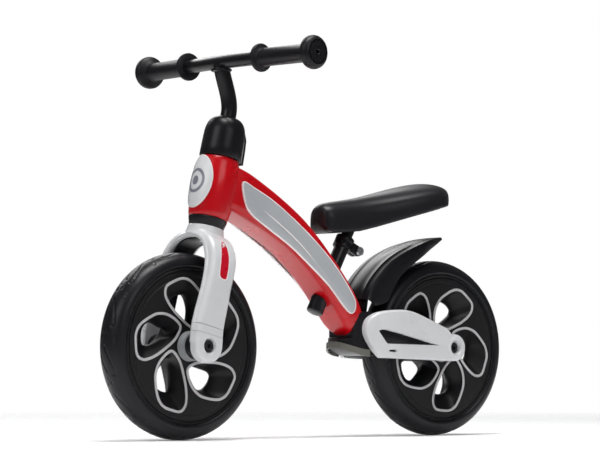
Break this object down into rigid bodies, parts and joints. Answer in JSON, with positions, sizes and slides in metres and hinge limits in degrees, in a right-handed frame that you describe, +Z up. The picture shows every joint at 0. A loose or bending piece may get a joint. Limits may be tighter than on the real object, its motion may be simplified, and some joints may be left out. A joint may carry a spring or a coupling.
{
  "type": "balance bike",
  "caption": "Toddler balance bike with a curved beam frame, arched fork, foam tyres on open rims, and a saddle and handlebar that slide up and down.",
  "frame": {"origin": "on the ground, midway between the two axles, in the middle plane", "axes": "+X forward, +Y to the rider's left, +Z up"},
  "size_m": [0.722, 0.3776, 0.5415],
  "materials": {
    "red_paint": "high gloss lacquer",
    "grey_panel": "satin silver-grey panel with a pale outline",
    "badge": "gloss, plain concentric rings",
    "white_plastic": "gloss moulded white",
    "black_plastic": "fine grained black moulding",
    "rim_plastic": "satin black moulding with thin grey outlines",
    "tyre": "foam tyre, matt to satin",
    "grip_rubber": "soft satin rubber",
    "saddle_foam": "smooth moulded polyurethane foam skin",
    "black_paint": "semi-gloss powder coat",
    "grey_plastic": "satin grey moulding",
    "steel": "zinc plated"
  },
  "bodies": {
    "frame": {"frame_beam": "red_paint", "side_panel_left": "grey_panel", "side_panel_right": "grey_panel", "head_badge": "badge", "lower_headset_collar": "black_plastic", "lower_headset_bearing": "steel", "upper_headset_bearing": "steel", "seat_tube": "black_paint", "seat_tube_end_cap": "black_plastic", "seat_clamp": "black_plastic", "seat_clamp_bolt": "steel", "seat_clamp_nut": "steel", "rear_yoke": "black_plastic", "rear_cover_left": "white_plastic", "rear_cover_right": "white_plastic", "cover_insert_left": "black_plastic", "cover_insert_right": "black_plastic", "mudguard": "black_plastic", "mudguard_strut": "black_plastic", "tray_band": "grey_plastic", "rear_axle": "steel", "rear_axle_nut": "steel", "rear_spacer_left": "black_plastic", "rear_spacer_right": "black_plastic"},
    "fork": {"fork": "white_plastic", "fork_lining": "black_plastic", "steerer_tube": "steel", "steerer_clamp": "black_paint", "steerer_clamp_bolt": "steel", "head_cap": "black_plastic", "cap_tongue": "black_plastic", "front_axle": "steel", "front_axle_nut": "steel", "front_spacer_left": "black_plastic", "front_spacer_right": "black_plastic"},
    "front_wheel": {"front_tyre": "tyre", "front_rim": "rim_plastic", "front_hub_sleeve_left": "grey_plastic", "front_hub_sleeve_right": "grey_plastic", "front_bearing_left": "steel", "front_bearing_right": "steel"},
    "handlebar": {"stem": "black_paint", "handlebar_tube": "black_paint", "grip_left": "grip_rubber", "grip_right": "grip_rubber"},
    "rear_wheel": {"rear_tyre": "tyre", "rear_rim": "rim_plastic", "rear_hub_sleeve_left": "grey_plastic", "rear_hub_sleeve_right": "grey_plastic", "rear_bearing_left": "steel", "rear_bearing_right": "steel"},
    "saddle": {"seat_post": "black_paint", "saddle_base": "black_plastic", "saddle_pad": "saddle_foam", "saddle_nose_cover": "black_plastic"}
  },
  "joints": [
    {"name": "steering", "type": "hinge", "parent": "frame", "child": "fork", "pos_m": [0.22915, 0, 0.12579], "axis": [-0.2419, 0, 0.9703], "range_deg": [-50, 50]},
    {"name": "front_wheel_spin", "type": "hinge", "parent": "fork", "child": "front_wheel", "pos_m": [0.234, 0, 0.127], "axis": [0, 1, 0], "continuous": true},
    {"name": "handlebar_height", "type": "slide", "parent": "fork", "child": "handlebar", "axis": [-0.2419, 0, 0.9703], "range_m": [0, 0.036]},
    {"name": "rear_wheel_spin", "type": "hinge", "parent": "frame", "child": "rear_wheel", "pos_m": [-0.234, 0, 0.127], "axis": [0, 1, 0], "continuous": true},
    {"name": "seat_height", "type": "slide", "parent": "frame", "child": "saddle", "axis": [-0.4848, 0, 0.8746], "range_m": [0, 0.045]}
  ]
}
